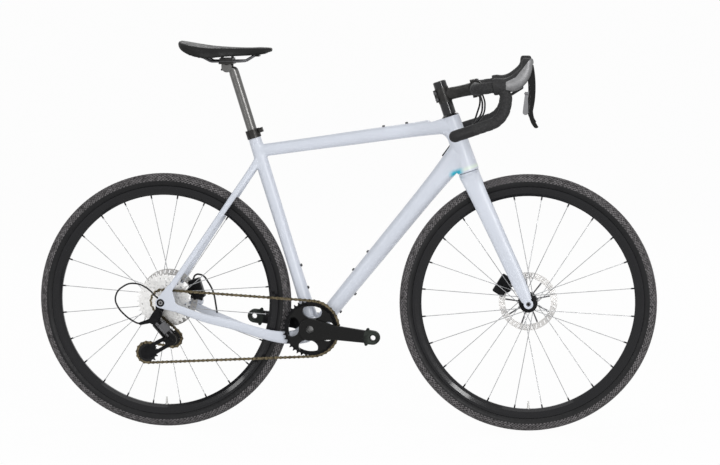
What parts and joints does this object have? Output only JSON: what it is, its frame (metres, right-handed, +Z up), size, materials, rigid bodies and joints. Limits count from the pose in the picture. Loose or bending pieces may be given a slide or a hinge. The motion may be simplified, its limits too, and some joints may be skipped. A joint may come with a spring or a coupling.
{
  "type": "gravel bike",
  "caption": "Drop-bar gravel bicycle with wide treaded tyres, disc brakes, a single chainring and a rear derailleur, on a pale composite frame.",
  "frame": {"origin": "on the ground, half way between the two axles, in the bike's middle plane", "axes": "+X forward, +Y to the rider's left, +Z up; the drive side is on -Y"},
  "size_m": [1.7041, 0.5008, 1.0661],
  "materials": {
    "frame_paint": "satin pale blue-grey paint over carbon composite",
    "rubber_black": "black tread rubber",
    "rim_black": "gloss black composite",
    "spoke_steel": "drawn steel",
    "hub_black": "black anodised",
    "rotor_steel": "ground steel",
    "bolt_steel": "blacked steel",
    "composite_black": "black carbon composite",
    "grip_black": "matt black",
    "plug_black": "matt black",
    "saddle_black": "smooth black cover over foam",
    "rail_metal": "dark steel",
    "cable_black": "black outer casing",
    "cassette_steel": "bright steel",
    "chainring_black": "black anodised",
    "chain_steel": "bronze-tinted steel",
    "derailleur_black": "dark anodised",
    "small_plastic": "black",
    "pad_lining": "backed brake lining"
  },
  "bodies": {
    "frame": {"front_triangle": "frame_paint", "rear_triangle": "frame_paint", "frame_bearings": "hub_black", "seat_collar": "hub_black", "boss_bolts": "bolt_steel", "rear_thru_axle": "bolt_steel", "derailleur_hanger": "derailleur_black", "rear_caliper": "derailleur_black", "derailleur_body": "derailleur_black", "rear_cables": "cable_black", "steering_cables": "cable_black", "chain": "chain_steel"},
    "seat": {"seatpost": "composite_black", "saddle_clamp": "hub_black", "saddle_rails": "rail_metal", "saddle_shell": "composite_black", "saddle_pad": "saddle_black"},
    "steering": {"fork": "frame_paint", "headset_spacers": "hub_black", "stem": "hub_black", "stem_faceplate": "hub_black", "stem_bolts": "bolt_steel", "handlebar": "composite_black", "bar_tape": "grip_black", "bar_end_plugs": "plug_black", "lever_hoods": "grip_black", "front_caliper": "derailleur_black", "front_thru_axle": "bolt_steel", "front_brake_hose": "cable_black"},
    "lever_right": {"brake_lever_right": "composite_black"},
    "lever_left": {"brake_lever_left": "composite_black"},
    "paddle": {"shift_paddle": "derailleur_black"},
    "thumb": {"thumb_lever": "small_plastic"},
    "front_wheel": {"front_tyre": "rubber_black", "front_rim": "rim_black", "front_spokes": "spoke_steel", "front_hub": "hub_black", "front_rotor": "rotor_steel", "front_valve": "bolt_steel"},
    "rear_wheel": {"rear_tyre": "rubber_black", "rear_rim": "rim_black", "rear_spokes": "spoke_steel", "rear_hub": "hub_black", "rear_rotor": "rotor_steel", "rear_valve": "bolt_steel"},
    "cassette_body": {"cassette": "cassette_steel"},
    "crank": {"chainring": "chainring_black", "crank_right": "composite_black", "crank_left": "composite_black", "crank_boots": "grip_black"},
    "outer_link": {"derailleur_outer_link": "derailleur_black"},
    "inner_link": {"derailleur_inner_link": "derailleur_black"},
    "knuckle": {"derailleur_knuckle": "derailleur_black"},
    "cage": {"derailleur_cage": "derailleur_black"},
    "jockey_upper": {"upper_jockey": "small_plastic"},
    "jockey_lower": {"lower_jockey": "small_plastic"},
    "rear_pad_in": {"rear_pad_inboard": "pad_lining"},
    "rear_pad_out": {"rear_pad_outboard": "pad_lining"},
    "front_pad_in": {"front_pad_inboard": "pad_lining"},
    "front_pad_out": {"front_pad_outboard": "pad_lining"}
  },
  "joints": [
    {"name": "steering", "type": "hinge", "parent": "frame", "child": "steering", "pos_m": [0.34028, 0, 0.70957], "axis": [-0.309, 0, 0.9511], "range_deg": [-66, 54], "deforming": ["steering_cables"]},
    {"name": "front_wheel_spin", "type": "hinge", "parent": "steering", "child": "front_wheel", "pos_m": [0.50178, 0.00449, 0.35093], "axis": [-0.0994, 0.9945, -0.0323], "continuous": true},
    {"name": "rear_wheel_spin", "type": "hinge", "parent": "frame", "child": "rear_wheel", "pos_m": [-0.502, 0, 0.351], "axis": [0, 1, 0], "continuous": true},
    {"name": "crank_spin", "type": "hinge", "parent": "frame", "child": "crank", "pos_m": [-0.09, 0, 0.28], "axis": [0, 1, 0], "continuous": true, "deforming": ["chain"]},
    {"name": "cassette_spin", "type": "hinge", "parent": "frame", "child": "cassette_body", "pos_m": [-0.502, 0, 0.351], "axis": [0, 1, 0], "continuous": true},
    {"name": "derailleur_swing", "type": "hinge", "parent": "frame", "child": "outer_link", "pos_m": [-0.50853, -0.07969, 0.29816], "axis": [0.5947, 0.6157, 0.517], "range_deg": [-12, 17]},
    {"name": "inner_link_swing", "type": "hinge", "parent": "frame", "child": "inner_link", "pos_m": [-0.51689, -0.06551, 0.29089], "axis": [0.5947, 0.6157, 0.517], "range_deg": [-12, 17]},
    {"name": "knuckle_swing", "type": "hinge", "parent": "outer_link", "child": "knuckle", "pos_m": [-0.47835, -0.07969, 0.26345], "axis": [0.5947, 0.6157, 0.517], "range_deg": [-17, 12]},
    {"name": "cage_pivot", "type": "hinge", "parent": "knuckle", "child": "cage", "pos_m": [-0.474, 0, 0.25], "axis": [0, 1, 0], "range_deg": [-55, 12], "stiffness_Nm_per_rad": 1.2},
    {"name": "upper_jockey_spin", "type": "hinge", "parent": "cage", "child": "jockey_upper", "pos_m": [-0.474, 0, 0.25], "axis": [0, 1, 0], "continuous": true},
    {"name": "lower_jockey_spin", "type": "hinge", "parent": "cage", "child": "jockey_lower", "pos_m": [-0.5466, 0, 0.20977], "axis": [0, 1, 0], "continuous": true},
    {"name": "brake_lever_right", "type": "hinge", "parent": "steering", "child": "lever_right", "pos_m": [0.52285, -0.17948, 0.99911], "axis": [-0.0994, 0.9945, -0.0323], "range_deg": [0, 13], "stiffness_Nm_per_rad": 1.5, "springref_deg": -11.46},
    {"name": "brake_lever_left", "type": "hinge", "parent": "steering", "child": "lever_left", "pos_m": [0.48189, 0.23026, 0.9858], "axis": [-0.0994, 0.9945, -0.0323], "range_deg": [0, 13], "stiffness_Nm_per_rad": 1.5, "springref_deg": -11.46},
    {"name": "shift_paddle", "type": "hinge", "parent": "lever_right", "child": "paddle", "pos_m": [0.51649, -0.18226, 0.93316], "axis": [0.995, 0.0994, -0.0016], "range_deg": [0, 16], "stiffness_Nm_per_rad": 0.4, "springref_deg": -8.59},
    {"name": "thumb_lever", "type": "hinge", "parent": "steering", "child": "thumb", "pos_m": [0.50102, -0.18296, 0.95917], "axis": [0.0994, -0.9945, 0.0323], "range_deg": [0, 14], "stiffness_Nm_per_rad": 0.4, "springref_deg": -8.59},
    {"name": "seatpost_slide", "type": "slide", "parent": "frame", "child": "seat", "axis": [-0.2924, 0, 0.9563], "range_m": [-0.09, 0.08]},
    {"name": "front_pad_inboard_slide", "type": "slide", "parent": "steering", "child": "front_pad_in", "axis": [-0.0994, 0.9945, -0.0323], "range_m": [0, 0.0004]},
    {"name": "front_pad_outboard_slide", "type": "slide", "parent": "steering", "child": "front_pad_out", "axis": [0.0994, -0.9945, 0.0323], "range_m": [0, 0.0004]},
    {"name": "rear_pad_inboard_slide", "type": "slide", "parent": "frame", "child": "rear_pad_in", "axis": [0, 1, 0], "range_m": [0, 0.0004]},
    {"name": "rear_pad_outboard_slide", "type": "slide", "parent": "frame", "child": "rear_pad_out", "axis": [0, -1, 0], "range_m": [0, 0.0004]}
  ],
  "couplings": [
    {"joint": "cassette_spin", "follows": "crank_spin", "ratio": 2.375},
    {"joint": "upper_jockey_spin", "follows": "crank_spin", "ratio": -3.1667},
    {"joint": "lower_jockey_spin", "follows": "crank_spin", "ratio": 2.7143},
    {"joint": "inner_link_swing", "follows": "derailleur_swing", "ratio": 1},
    {"joint": "knuckle_swing", "follows": "derailleur_swing", "ratio": -1},
    {"joint": "front_pad_inboard_slide", "follows": "brake_lever_left", "m_per_rad": 0.0017629},
    {"joint": "front_pad_outboard_slide", "follows": "brake_lever_left", "m_per_rad": 0.0017629},
    {"joint": "rear_pad_inboard_slide", "follows": "brake_lever_right", "m_per_rad": 0.0017629},
    {"joint": "rear_pad_outboard_slide", "follows": "brake_lever_right", "m_per_rad": 0.0017629}
  ]
}
